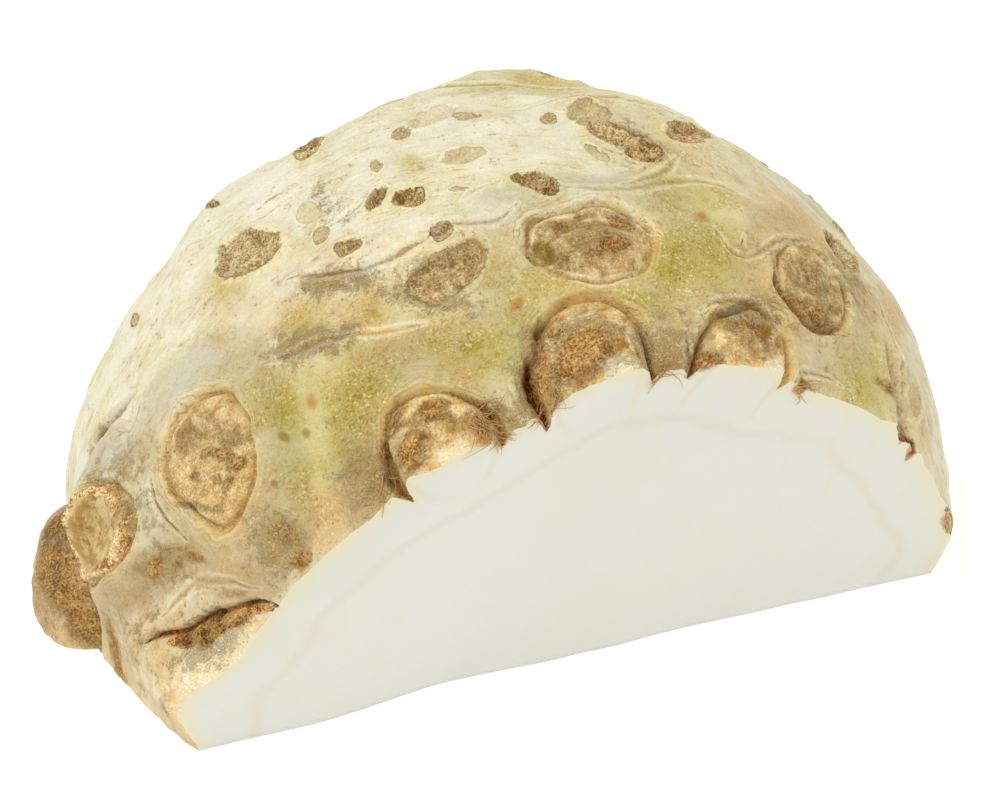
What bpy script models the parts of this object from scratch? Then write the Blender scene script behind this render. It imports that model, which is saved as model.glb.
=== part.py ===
"""Half a celeriac root: a knobbly globe with one flat cut below and a second cut at the front.

Metres, +Z up, the front cut towards -Y. Lengths below are in millimetres and angles in degrees.
A place on the globe is its azimuth (0 is +X, 90 is +Y) and its height above the level of the middle.
"""

import math

import bmesh
import bpy
import numpy as np

MM = 0.001
GLOBE_RADIUS = 60.0
MIDDLE = (3.1, -10.7, 0.0)  # the globe's middle, so that the finished half sits centred on the origin
EDGE_CUTS = 36  # cuts along each edge of the starting icosahedron
CROWDING = 0.3  # how strongly mesh points gather round a knob
CROWD_REACH = 1.9  # how far round a knob they gather, in its own half-widths

FRONT_REACH = 28.1  # from the globe's middle to the front cut, at the level of the base
FRONT_LEAN = 10.0  # the front cut leans out by this angle as it rises
FRONT_BULGE = 2.2  # how much farther out the cut runs towards its left end
BULGE_SPAN = (-16.0, -42.0)  # along the cut, where the bulge starts and where it is whole
BULGE_SLANT = 0.45  # the bulge shifts along the cut by this share of the height
BULGE_STRIPS = 8
CUTTER_SIZE = 300.0

UNEVEN = 0.45  # height of the gentle unevenness all over the skin
UNEVEN_WAVES = 14
WAVE_RANGE = (4.0, 13.0)  # fewest and most waves round the globe, times two pi
SEED = 41
WOBBLE_OVAL = 0.05  # how far a mark's outline strays from an ellipse, twice round it
WOBBLE_THREE = 0.04  # and three times round it

# Knobs: azimuth, height, half-length, half-width, turn, rise of the stub, ring depth, collar, dished middle
KNOBS = (
    (-158, 36.4, 8.2, 6.6, -20, 1.5, 0.9, 0.6, 0.0),
    (-171.8, 18.3, 8.0, 6.3, 48, 2.2, 0.9, 0.6, 2.8),
    (-120.4, 46.8, 6.4, 7.0, -20, 3.0, 1.5, 1.2, 0.0),
    (-92.5, 55.6, 9.4, 6.9, 81, 3.2, 1.6, 1.3, 0.0),
    (-65, 49.4, 9.4, 6.4, 28, 3.0, 1.5, 1.3, 0.0),
    (-77.8, 71.6, 7.8, 5.9, -22, 1.3, 0.9, 0.4, 0.0),
    (-31.7, 50.2, 6.3, 5.7, 26, 0.8, 1.0, 0.6, 0.0),
    (22, 26, 8.4, 7.2, 80, 3.0, 1.8, 1.6, 0.0),
    (50, 38, 7.0, 6.2, 20, 2.2, 1.6, 1.2, 0.0),
    (68, 14, 8.8, 7.6, 10, 3.2, 2.0, 1.6, 0.6),
    (90, 36, 7.6, 6.8, 70, 2.6, 1.6, 1.4, 0.0),
    (116, 20, 8.2, 6.6, 30, 2.8, 1.8, 1.4, 1.4),
    (38, 8, 6.4, 5.6, 0, 2.4, 1.6, 1.2, 1.0),
)

# A knob's section, out from its middle in its own half-widths
STUB_ROUNDING = 0.3  # share of its height that the stub has lost at its edge
STUB_EDGE = (0.78, 1.0)  # where the stub starts to fall and where it ends
GROOVE_WIDTH = 0.15
COLLAR_AT = 1.32
COLLAR_WIDTH = 0.27
DISH_WIDTH = 0.5

# A scar's section, in the same way
SCAR_EDGE = (0.6, 1.02)
LIP_AT = 1.15
LIP_WIDTH = 0.22
CREASE_LIP_AT = 2.2  # a crease's lip, in the crease's half-widths

# Scars: azimuth, height, half-length, half-width, turn, depth, lip
SCARS = (
    (-130, 68, 5.8, 3.6, 66, 1.6, 0.7),
    (174, 56, 5.8, 4.2, 38, 1.0, 0.5),
    (33, 75, 3.8, 2.6, -63, 0.8, 0.4),
    (8, 76, 4.2, 2.4, 28, 1.2, 0.5),
    (-10, 74, 3.4, 2.2, -19, 1.2, 0.5),
    (12, 64, 5.4, 2.8, -56, 0.9, 0.5),
    (-89, 82, 2.8, 1.8, -50, 1.3, 0.6),
    (-164, 75, 2.2, 1.8, 0, 1.3, 0.5),
    (-177, 72, 2.0, 1.6, -34, 1.0, 0.4),
    (-162, 66, 2.2, 1.6, 35, 0.9, 0.4),
    (-10, 43, 5.2, 3.2, -40, 1.4, 0.6),
    (-30, 31, 5.4, 3.6, -30, 0.6, 0.4),
    (136, 60, 4.6, 3.0, 20, 1.0, 0.5),
    (60, 60, 4.2, 3.2, 75, 1.0, 0.3),
    (88, 58, 5.0, 3.6, 40, 1.0, 0.3),
    (141, 36, 5.6, 4.6, -20, 1.2, 0.3),
    (112, 74, 3.6, 2.6, 10, 0.9, 0.4),
    (20, 48, 4.0, 2.8, 0, 1.0, 0.5),
    (148, 14, 5.0, 3.6, 60, 1.1, 0.5),
    (84, 6, 4.6, 3.2, 0, 1.0, 0.5),
)

# Creases: half-width, depth, lip beside it, then places
CREASES = (
    (1.2, 2.0, 0.9, ((-157.5, 11), (-155, 14), (-151.5, 16), (-149, 18.5), (-146.5, 21), (-143.5, 24))),
    (1.2, 1.7, 0.6, ((-180, 33.5), (178, 30), (175, 25), (173, 21))),
    (1.2, 1.4, 0.3, ((-129, 46), (-125, 42), (-121, 39))),
    (1.2, 1.5, 0.4, ((-106, 58), (-105, 54), (-102, 49))),
    (1.2, 1.1, 0.5, ((-37, 56), (-43, 53), (-43, 49), (-37, 44))),
    (1.2, 1.2, 0.4, ((-40, 31), (-38, 26), (-38, 21))),
    (1.2, 1.8, 0.2, ((178, 13.5), (-177, 12), (-174, 9), (-172.5, 5), (-171, 0))),
    (1.6, 0.9, 0.6, ((-26, 37), (-32, 34), (-38, 30), (-43, 26))),
    (1.5, 1.4, 0.8, ((24, 26), (22, 18), (26, 10))),
    (1.5, 1.4, 0.8, ((82, 30), (88, 22), (86, 14))),
    (1.5, 1.2, 0.8, ((126, 30), (133, 24), (134, 12))),
)

# Growth ridges: half-width, height, then places
RIDGES = (
    (2.4, 0.9, ((-170, 58), (-161, 63), (-153, 67), (-146, 73), (-132, 75), (-107, 78))),
    (2.2, 0.7, ((157, 56), (158, 61), (159, 66))),
    (2.4, 0.8, ((102, 82), (66, 81), (45, 71), (36, 64), (22, 60))),
    (2.6, 0.9, ((-77, 81), (-54, 77), (-40, 75), (-20, 72), (-6, 68), (5, 56))),
    (2.4, 0.7, ((-157, 49), (-148, 55), (-138, 58), (-128, 61), (-117, 64))),
    (2.6, 0.8, ((-150, 23), (-146, 27), (-141, 29))),
    (2.6, 0.8, ((60, 74), (84, 72), (110, 66), (128, 66))),
    (2.6, 0.8, ((28, 34), (48, 30), (62, 34), (80, 50))),
    (2.6, 0.8, ((128, 48), (150, 46), (166, 46))),
)

# The bulb at the lower left
BULB = (179, 1, 8.0, 13.0, 29)
BULB_RISE = 6.1
BULB_FULLNESS = 0.54  # lower is fuller, with a steeper side
SWELL_CORE = 0.1  # share of a swell's reach that keeps its whole height

# Swells and hollows: azimuth, height, half-length, half-width, turn, amount
SWELLS = (
    (165, 14, 18.0, 13.0, 0, 0.8),
    (-170, 17, 13.0, 12.0, 0, 2.2),
    (-179, 18, 9.0, 9.0, 0, 2.3),
    (-151, 9, 15.0, 9.0, 0, 3.4),
    (76, 60, 16.0, 10.0, 0, 1.3),
    (143, 34, 16.0, 10.0, 40, -1.0),
    (-14, 18, 22.0, 16.0, 0, -0.6),
    (-28, -2, 30.0, 12.0, 0, -2.6),
    (112, 52, 24.0, 12.0, -20, -1.0),
    (34, 52, 20.0, 12.0, 20, -0.9),
)


def step(low, high, value):
    """0 below low and 1 above high, easing between them."""
    share = np.clip((value - low) / (high - low), 0.0, 1.0)
    return share * share * (3.0 - 2.0 * share)


def bell(value, width):
    return np.exp(-((value / width) ** 2))


def direction(azimuth, height):
    a, h = math.radians(azimuth), math.radians(height)
    return np.array((math.cos(a) * math.cos(h), math.sin(a) * math.cos(h), math.sin(h)))


def spread(points, azimuth, height, half_length, half_width, turn):
    """How far each point is from the middle of a mark, in the mark's own half-widths."""
    out = direction(azimuth, height)
    east = direction(azimuth + 90.0, 0.0)
    north = np.cross(out, east)
    t = math.radians(turn)
    along = points @ (math.cos(t) * east + math.sin(t) * north)
    across = points @ (math.cos(t) * north - math.sin(t) * east)
    flat = np.maximum(np.hypot(along, across), 1e-9)
    arc = GLOBE_RADIUS * np.arccos(np.clip(points @ out, -1.0, 1.0)) / flat
    round_it = np.arctan2(across, along)
    wobble = 1.0 + WOBBLE_OVAL * np.sin(2.0 * round_it + azimuth)
    wobble += WOBBLE_THREE * np.sin(3.0 * round_it + height)
    return wobble * np.hypot(arc * along / half_length, arc * across / half_width)


def off_line(points, places):
    """Distance in millimetres from a line through places on the globe."""
    ends = [GLOBE_RADIUS * direction(*place) for place in places]
    nearest = np.full(len(points), 1e9)
    for start, end in zip(ends, ends[1:]):
        run = end - start
        share = np.clip((GLOBE_RADIUS * points - start) @ run / (run @ run), 0.0, 1.0)
        gap = GLOBE_RADIUS * points - start - share[:, None] * run
        nearest = np.minimum(nearest, np.linalg.norm(gap, axis=1))
    return nearest


def knob_form(reach, rise, ring, collar, dish):
    rounded = 1.0 - STUB_ROUNDING * np.minimum(reach, 1.0) ** 2
    stub = rise * rounded * (1.0 - step(*STUB_EDGE, reach))
    groove = -ring * bell(reach - 1.0, GROOVE_WIDTH)
    fold = collar * bell(reach - COLLAR_AT, COLLAR_WIDTH)
    return stub + groove + fold - dish * bell(reach, DISH_WIDTH)


def scar_form(reach, depth, lip):
    return lip * bell(reach - LIP_AT, LIP_WIDTH) - depth * (1.0 - step(*SCAR_EDGE, reach))


def unevenness(points):
    chance = np.random.default_rng(SEED)
    total = np.zeros(len(points))
    for _ in range(UNEVEN_WAVES):
        way = chance.normal(size=3)
        way *= chance.uniform(*WAVE_RANGE) / np.linalg.norm(way)
        total += np.sin(points @ way + chance.uniform(0.0, 2.0 * math.pi))
    return UNEVEN * total / math.sqrt(UNEVEN_WAVES / 2.0)


def relief(points):
    """Height of the skin over the plain globe, for each outward direction."""
    total = unevenness(points)
    for *place, amount in SWELLS:
        total += amount * (1.0 - step(SWELL_CORE, 1.0, spread(points, *place)))
    total += BULB_RISE * np.maximum(0.0, 1.0 - spread(points, *BULB) ** 2) ** BULB_FULLNESS
    for width, amount, places in RIDGES:
        total += amount * bell(off_line(points, places), width)
    for *place, rise, ring, collar, dish in KNOBS:
        total += knob_form(spread(points, *place), rise, ring, collar, dish)
    for *place, depth, lip in SCARS:
        total += scar_form(spread(points, *place), depth, lip)
    for width, depth, lip, places in CREASES:
        gap = off_line(points, places)
        total += lip * bell(gap - CREASE_LIP_AT * width, width) - depth * bell(gap, width)
    return total


def unit(points):
    return points / np.linalg.norm(points, axis=1)[:, None]


def crowded(points):
    """Mesh points gathered towards the knobs, where the skin needs them most."""
    moved = points.copy()
    for azimuth, height, half_length, half_width, *_ in KNOBS:
        middle = direction(azimuth, height)
        reach = spread(points, azimuth, height, half_length, half_width, 0.0)
        moved += CROWDING * bell(reach, CROWD_REACH)[:, None] * (middle - points)
    return unit(moved)


def add_globe(collection):
    mesh = bmesh.new()
    bmesh.ops.create_icosphere(mesh, subdivisions=1, radius=1.0)
    bmesh.ops.subdivide_edges(mesh, edges=mesh.edges[:], cuts=EDGE_CUTS, use_grid_fill=True)
    points = crowded(unit(np.array([vert.co for vert in mesh.verts])))
    placed = points * (GLOBE_RADIUS + relief(points))[:, None] + np.array(MIDDLE)
    for vert, place in zip(mesh.verts, placed):
        vert.co = MM * place
    data = bpy.data.meshes.new("celeriac_root")
    mesh.to_mesh(data)
    mesh.free()
    data.polygons.foreach_set("use_smooth", [True] * len(data.polygons))
    globe = bpy.data.objects.new("celeriac_root", data)
    collection.objects.link(globe)
    return globe


def bulge(mesh):
    """The near-left part of the front cutter's face pushed out, as a knife wanders."""
    start, whole = BULGE_SPAN
    for share in np.linspace(0.0, 1.0, BULGE_STRIPS + 1):
        x = MM * (start + share * (whole - start))
        everything = mesh.verts[:] + mesh.edges[:] + mesh.faces[:]
        slant = (1.0, 0.0, -BULGE_SLANT)
        bmesh.ops.bisect_plane(mesh, geom=everything, plane_co=(x, 0.0, 0.0), plane_no=slant)
    for vert in mesh.verts:
        if vert.co.y > 0.0:
            along = (vert.co.x - BULGE_SLANT * vert.co.z) / MM
            vert.co.y -= MM * FRONT_BULGE * float(step(start, whole, along))


def add_cutter(name, collection, middle, lean):
    mesh = bmesh.new()
    bmesh.ops.create_cube(mesh, size=CUTTER_SIZE * MM)
    if lean:
        bulge(mesh)
    data = bpy.data.meshes.new(name)
    mesh.to_mesh(data)
    mesh.free()
    cutter = bpy.data.objects.new(name, data)
    cutter.location = [MM * value for value in middle]
    cutter.rotation_euler = (math.radians(lean), 0.0, 0.0)
    cutter.hide_render = True
    cutter.display_type = "WIRE"
    collection.objects.link(cutter)
    return cutter


def cut_with(globe, cutter):
    cut = globe.modifiers.new(cutter.name, "BOOLEAN")
    cut.operation = "DIFFERENCE"
    cut.solver = "EXACT"
    cut.object = cutter


def root_material():
    material = bpy.data.materials.new("celeriac_root")
    material.use_nodes = True
    shader = material.node_tree.nodes["Principled BSDF"]
    shader.inputs["Base Color"].default_value = (0.60, 0.52, 0.29, 1.0)
    shader.inputs["Roughness"].default_value = 0.7
    return material


def add_collection(name):
    collection = bpy.data.collections.new(name)
    bpy.context.scene.collection.children.link(collection)
    return collection


def clear_scene():
    for thing in list(bpy.data.objects):
        bpy.data.objects.remove(thing, do_unlink=True)


def main():
    clear_scene()
    root = add_collection("celeriac_root")
    cutters = add_collection("cutters")
    cutters.hide_render = True
    globe = add_globe(root)
    globe.data.materials.append(root_material())
    half = CUTTER_SIZE / 2.0
    lean = math.radians(FRONT_LEAN)
    face = (MIDDLE[0], MIDDLE[1] - FRONT_REACH, 0.0)
    front = (MIDDLE[0], face[1] - half * math.cos(lean), face[2] - half * math.sin(lean))
    cut_with(globe, add_cutter("below_cutter", cutters, (0.0, 0.0, -half), 0.0))
    cut_with(globe, add_cutter("front_cutter", cutters, front, FRONT_LEAN))


main()
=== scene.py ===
"""Half a celeriac root on a pale floor: knobbly skin, scars, root hairs and two white cut faces.

Run as a script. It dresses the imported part: the skin and flesh are one closed mesh with finer relief than
the solid it stands for. Lengths in the tables are millimetres and angles are degrees. A place on the globe
is its azimuth (0 is +X, 90 is +Y) and its height above the level of the globe's middle.
"""

import math

import bpy
import numpy as np
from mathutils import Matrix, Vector


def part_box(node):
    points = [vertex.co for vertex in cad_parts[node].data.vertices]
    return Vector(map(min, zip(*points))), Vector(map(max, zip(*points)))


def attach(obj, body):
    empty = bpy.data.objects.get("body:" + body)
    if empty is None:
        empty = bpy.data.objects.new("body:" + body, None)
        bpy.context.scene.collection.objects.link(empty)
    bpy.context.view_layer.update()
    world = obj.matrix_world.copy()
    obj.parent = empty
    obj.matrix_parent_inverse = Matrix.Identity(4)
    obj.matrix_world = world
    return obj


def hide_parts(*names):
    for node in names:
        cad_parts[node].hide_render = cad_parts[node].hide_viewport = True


bl_info = {
    "name": "Celeriac Half",
    "version": (1, 0, 0),
    "blender": (4, 5, 0),
    "location": "View3D > Sidebar > Celeriac",
    "description": "Half a celeriac root with knobs, scars and a cut face",
    "category": "Add Mesh",
}

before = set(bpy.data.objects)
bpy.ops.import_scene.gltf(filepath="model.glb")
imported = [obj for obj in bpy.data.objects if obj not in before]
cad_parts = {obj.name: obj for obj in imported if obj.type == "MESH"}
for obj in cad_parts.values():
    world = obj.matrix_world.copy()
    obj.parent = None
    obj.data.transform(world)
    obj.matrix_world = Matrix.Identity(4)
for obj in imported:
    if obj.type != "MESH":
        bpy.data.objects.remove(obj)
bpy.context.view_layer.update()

MM = 0.001
NODE = "celeriac_root"

GLOBE_RADIUS = 60.0
MIDDLE = np.array((3.1, -10.7, 0.0))  # the globe's middle, which centres the half on the origin
SPHERE_STEPS = 8
CROWDING = 0.25  # how strongly mesh points gather round a knob
CROWD_REACH = 1.9  # how far round a knob they gather, in its own half-widths
TINY = 1e-9  # keeps a division from failing

FRONT_REACH = 28.1  # from the globe's middle to the front cut, at the level of the base
FRONT_LEAN = 10.0  # the front cut leans out by this angle as it rises
FRONT_BULGE = 2.2  # how much farther out the cut runs towards its left end
BULGE_SPAN = (-16.0, -42.0)  # along the cut, where the bulge starts and where it is whole
BULGE_SLANT = 0.45  # the bulge shifts along the cut by this share of the height

UNEVEN = 0.45  # height of the gentle unevenness all over the skin
UNEVEN_WAVES = 14
WAVE_RANGE = (4.0, 13.0)  # fewest and most waves round the globe, times two pi
SEED = 41
WOBBLE_OVAL = 0.05  # how far a mark's outline strays from an ellipse, twice round it
WOBBLE_THREE = 0.04  # and three times round it

GROWTH_POLE = (-105.0, 20.0)  # growth lines run round this place
GROWTH_STRETCH = 0.10  # how much slower the skin changes along its growth lines than across them
GROWTH_BEND = 1.6  # how far, in millimetres, the growth lines stray
GROWTH_BEND_SIZE = 14.0
GROWTH_TURN = 0.3  # how fast it changes on the way round a knob, next to along a growth line
KNOB_SPAN = (1.1, 2.3)  # where growth lines run round a knob, and where they no longer do
TILE = 32  # random values repeat after this many steps
CURVE_STEPS = 4  # straight runs between two places of a line
FAR = 9.0  # distances from marks aren't told apart beyond this
FADE = 5.0  # a line thins out over this length at each end
END_WIDTH = 0.35  # a line's width at its very end, as a share of its full width
WAVER = 0.8  # marks and forms stray from their smooth outlines by about this much
NEAR_SIDE = (-125.0, 48.0)  # the side with the most to see, where the mesh is finest
GATHER = 0.26  # how strongly mesh points gather on that side

# A knob's section, out from its middle in its own half-widths
STUB_ROUNDING = 0.5  # share of its height that the stub has lost at its edge
STUB_EDGE = (0.90, 1.03)  # where the stub starts to fall and where it ends
GROOVE_AT = 1.03
GROOVE_WIDTH = 0.05
COLLAR_AT = 1.14
COLLAR_WIDTHS = (0.08, 0.42)  # towards the stub and away from it
RING_LEAST = 0.35  # how much the flattest knob wrinkles the skin round it
RING_GAIN = 0.35  # how much more it does for each millimetre of collar
DISH_WIDTH = 0.58

# A scar's section, in the same way
SCAR_EDGE = (0.6, 1.02)
LIP_AT = 1.15
LIP_WIDTH = 0.22
CREASE_LIP_AT = 2.2  # a crease's lip, in the crease's half-widths
LINE_WIDTH = 0.36  # a fine line, in millimetres
LINE_LIP_AT = 0.9
LINE_LIP_WIDTH = 0.5

# Heights of the fine relief, in millimetres
GRAIN = 0.08
ROLL = 0.16
WRINKLE = 0.04
STUB_LUMPS = 0.60
PEELED_FOLD = 0.16
PEELED_RIM = (0.25, 0.7)  # the part that is even and the part that is crumbled
PULP = 0.35
SCAR_CRUST = 0.65
ROUGH_CRUST = 0.40
BROWN_CRUST = 0.45
CREASE_CRUMBS = 0.30

# Knobs: azimuth, height, half-length, half-width, turn, rise of the stub, ring depth, collar, dish
KNOBS = (
    (-158, 36.4, 8.2, 6.6, -20, 0.9, 0.6, 0.7, 0),
    (-172, 18.5, 7.7, 6, 48, 1.5, 0.7, 0.6, 3.4),
    (-120.4, 46.8, 6.4, 7, -20, 2.4, 0.8, 0.9, 0),
    (-92.5, 55.6, 9.4, 6.9, 81, 2.6, 0.8, 0.9, 0),
    (-65, 49.4, 9.4, 6.4, 28, 2.3, 0.8, 0.9, 0),
    (-77.8, 71.6, 7.8, 5.9, -22, 0.6, 0.5, 0.5, 0),
    (-31.7, 50.2, 6.3, 5.7, 26, 0.6, 0.6, 0.6, 0),
    (22, 26, 8.4, 7.2, 80, 3, 1.3, 1.5, 0),
    (50, 38, 7, 6.2, 20, 2, 1.1, 1.1, 0),
    (68, 14, 8.8, 7.6, 10, 3, 1.4, 1.5, 0.6),
    (90, 36, 7.6, 6.8, 70, 2.4, 1.1, 1.3, 0),
    (116, 20, 8.2, 6.6, 30, 2.8, 1.2, 1.3, 1.4),
    (38, 8, 6.4, 5.6, 0, 2.2, 1.1, 1.1, 1),
)
PEELED = KNOBS[1][:5]  # the stub whose inside lies open, smooth and pale

# Scars: azimuth, height, half-length, half-width, turn, depth, lip, and how brown they are
SCARS = (
    (-130, 68, 5.6, 3.2, 66, 1.3, 0.5, 0.6),
    (172, 55, 5.8, 3.6, 38, 0.5, 0.4, 0.7),
    (33, 75, 3.8, 2.6, -63, 0.6, 0.3, 0.4),
    (8, 76, 4.2, 2.4, 28, 0.9, 0.4, 0.8),
    (-10, 74, 3.4, 2.2, -19, 0.9, 0.4, 0.9),
    (12, 64, 5.4, 2.8, -56, 0.7, 0.4, 0.7),
    (-89, 82, 2.8, 1.8, -50, 1.3, 0.6, 1),
    (-164, 75, 2.2, 1.8, 0, 1.3, 0.5, 1),
    (-177, 72, 2, 1.6, -34, 1, 0.4, 0.9),
    (-162, 66, 2.2, 1.6, 35, 0.9, 0.4, 0.6),
    (-10, 43, 5.2, 3.2, -40, 1.4, 0.6, 0.7),
    (-30, 31, 5.4, 3.6, -30, 0.4, 0.3, 0.1),
    (135, 60, 3.6, 1.8, 20, 0.4, 0.3, 0.7),
    (60, 60, 4.2, 3.2, 75, 1, 0.3, 0.8),
    (88, 58, 5, 3.6, 40, 1, 0.3, 0.5),
    (141, 36, 5.6, 4.6, -20, 1.2, 0.3, 0.8),
    (112, 74, 3.6, 2.6, 10, 0.6, 0.3, 0.15),
    (20, 48, 4, 2.8, 0, 1, 0.5, 0.8),
    (148, 14, 5, 3.6, 60, 1.1, 0.5, 0.9),
    (84, 6, 4.6, 3.2, 0, 1, 0.5, 0.8),
)

# Small pits and flat marks: azimuth, height, half-length, half-width, turn, depth, lip, and how brown
PITS = (
    (-140, 73, 1.3, 0.9, 34, 0.5, 0.2, 0.7),
    (-177, 64, 1.7, 1.2, 3, 0.3, 0.2, 0.4),
    (172, 64, 2.2, 1.4, 16, 0.3, 0.3, 0.2),
    (168, 84, 2.6, 2.1, -71, 0.3, 0.3, 0.3),
    (132, 74, 2.2, 1.2, 42, 0.4, 0.2, 0.5),
    (133, 59, 2.8, 1.8, 63, 0.6, 0.2, 0.8),
    (161, 34, 2.6, 1, 25, 0.5, 0.2, 0.6),
    (146, 47, 2.4, 0.9, 38, 0.5, 0.2, 0.8),
    (-42, 22, 1.8, 1.2, -29, 0.6, 0.2, 0.8),
    (44, 80, 1.6, 1, -73, 0.3, 0.2, 0.5),
    (162, 73, 1.6, 0.9, 20, 0.4, 0.2, 0.4),
    (100, 78, 2, 1, -60, 0.3, 0.2, 0.4),
    (-146, 80, 1.4, 0.8, 30, 0.3, 0.2, 0.3),
    (18, 78, 1.8, 0.8, 20, 0.4, 0.2, 0.5),
    (-15, 80, 2.2, 1, 20, 0.4, 0.2, 0.3),
    (9, 32, 2.2, 1.4, 40, 0.5, 0.3, 0.9),
    (-32, 10, 2.4, 4.2, 10, 0.4, 0.3, 0.8),
    (-35, 18, 0.8, 1.4, 0, 0.8, 0.1, 1),
)

# Creases: half-width, depth, lip beside it, how dark (its brown together with painted shade), then places
CREASES = (
    (0.38, 1.5, 0.25, 1, ((-157.5, 11.2), (-155, 14), (-151.5, 16.2), (-149, 18.5), (-146.5, 21),
                          (-143.5, 24), (-140, 24.8))),
    (0.8, 1.7, 0.5, 1, ((-180, 33.5), (178, 30), (175, 25), (173, 21))),
    (0.7, 1.1, 0.3, 0.8, ((-129, 46), (-125, 42), (-121, 39))),
    (0.8, 1.2, 0.4, 1, ((-106, 58), (-105, 54), (-102, 49))),
    (0.7, 0.9, 0.5, 0.8, ((-37, 56), (-43, 53), (-43, 49), (-37, 44))),
    (0.7, 0.9, 0.3, 1, ((-40, 31), (-38, 26), (-38, 21))),
    (1.3, 0.7, 0.6, 0.3, ((-26, 37), (-32, 34), (-38, 30), (-43, 26))),
    (0.8, 1.6, 0.2, 1, ((178, 13.5), (-177, 12), (-174, 9), (-172.5, 5), (-171, 0))),
    (1.2, 1.2, 0.7, 0.25, ((24, 26), (22, 18), (26, 10))),
    (1.2, 1.2, 0.7, 0.25, ((82, 30), (88, 22), (86, 14))),
    (1.2, 1, 0.7, 0.25, ((126, 30), (133, 24), (134, 12))),
)

# The torn strip under the long slit
TORN = ((-153, 14.4), (-150.3, 16), (-148, 18), (-145.8, 20.4), (-143.2, 23.2), (-140.5, 24.2))
TORN_WIDTH = 1.4

# Growth ridges: half-width, height, then places
RIDGES = (
    (2.4, 0.9, ((-170, 58), (-161, 63), (-153, 67), (-146, 73), (-132, 75), (-107, 78))),
    (2.2, 0.7, ((157, 56), (158, 61), (159, 66))),
    (2.4, 0.8, ((102, 82), (66, 81), (45, 71), (36, 64), (22, 60))),
    (2.6, 0.9, ((-77, 81), (-54, 77), (-40, 75), (-20, 72), (-6, 68), (5, 56))),
    (2.4, 0.7, ((-157, 49), (-148, 55), (-138, 58), (-128, 61), (-117, 64))),
    (2.6, 0.8, ((-150, 23), (-146, 27), (-141, 29))),
    (2.6, 0.8, ((60, 74), (84, 72), (110, 66), (128, 66))),
    (2.6, 0.8, ((28, 34), (48, 30), (62, 34), (80, 50))),
    (2.6, 0.8, ((128, 48), (150, 46), (166, 46))),
)

# The bulb at the lower left
BULB = (179, 1, 8.0, 13.0, 29)
BULB_RISE = 6.1
BULB_ROUNDING = 0.54

# Swells and hollows: azimuth, height, half-length, half-width, turn, amount
SWELLS = (
    (165, 14, 18, 13, 0, 0.8),
    (-170, 17, 13, 12, 0, 2.2),
    (-179, 18, 9, 9, 0, 2.3),
    (-151, 9, 15, 9, 0, 3.4),
    (76, 60, 16, 10, 0, 1.3),
    (143, 34, 16, 10, 40, -1),
    (-14, 18, 22, 16, 0, -0.6),
    (-28, -2, 30, 12, 0, -2.6),
    (112, 52, 24, 12, -20, -1),
    (34, 52, 20, 12, 20, -0.9),
)

# Lumps on the knobs and elsewhere: azimuth, height, half-length, half-width, turn, amount
LUMPS = (
    (-123, 46, 3, 2.8, 0, 0.7),
    (-123, 52, 2.8, 2.2, 0, 0.6),
    (-76, 70.6, 5.8, 4.4, -20, 1.5),
    (-99, 72, 3.4, 3.6, 30, -0.7),
    (-93, 59, 5, 4.4, 40, 0.5),
    (-133, 68, 1.7, 1.5, 0, 1.3),
    (-60, 52, 4.4, 2.6, -20, 0.5),
    (-36, 49, 2.4, 2, 0, 0.8),
    (-28, 53, 2.2, 1.8, 0, 0.7),
    (-157, 37, 4.6, 3.4, 20, 0.5),
    (-152, 61, 8, 2.6, 24, 0.6),
    (-136, 57, 9, 2.4, 20, 0.5),
    (-120, 80, 9, 4, 10, 0.5),
    (-28, 62, 6, 4, 0, 0.5),
    (-149, 14, 3.4, 2.6, 40, 0.7),
    (178, 10, 5, 4, 0, 0.7),
)

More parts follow.
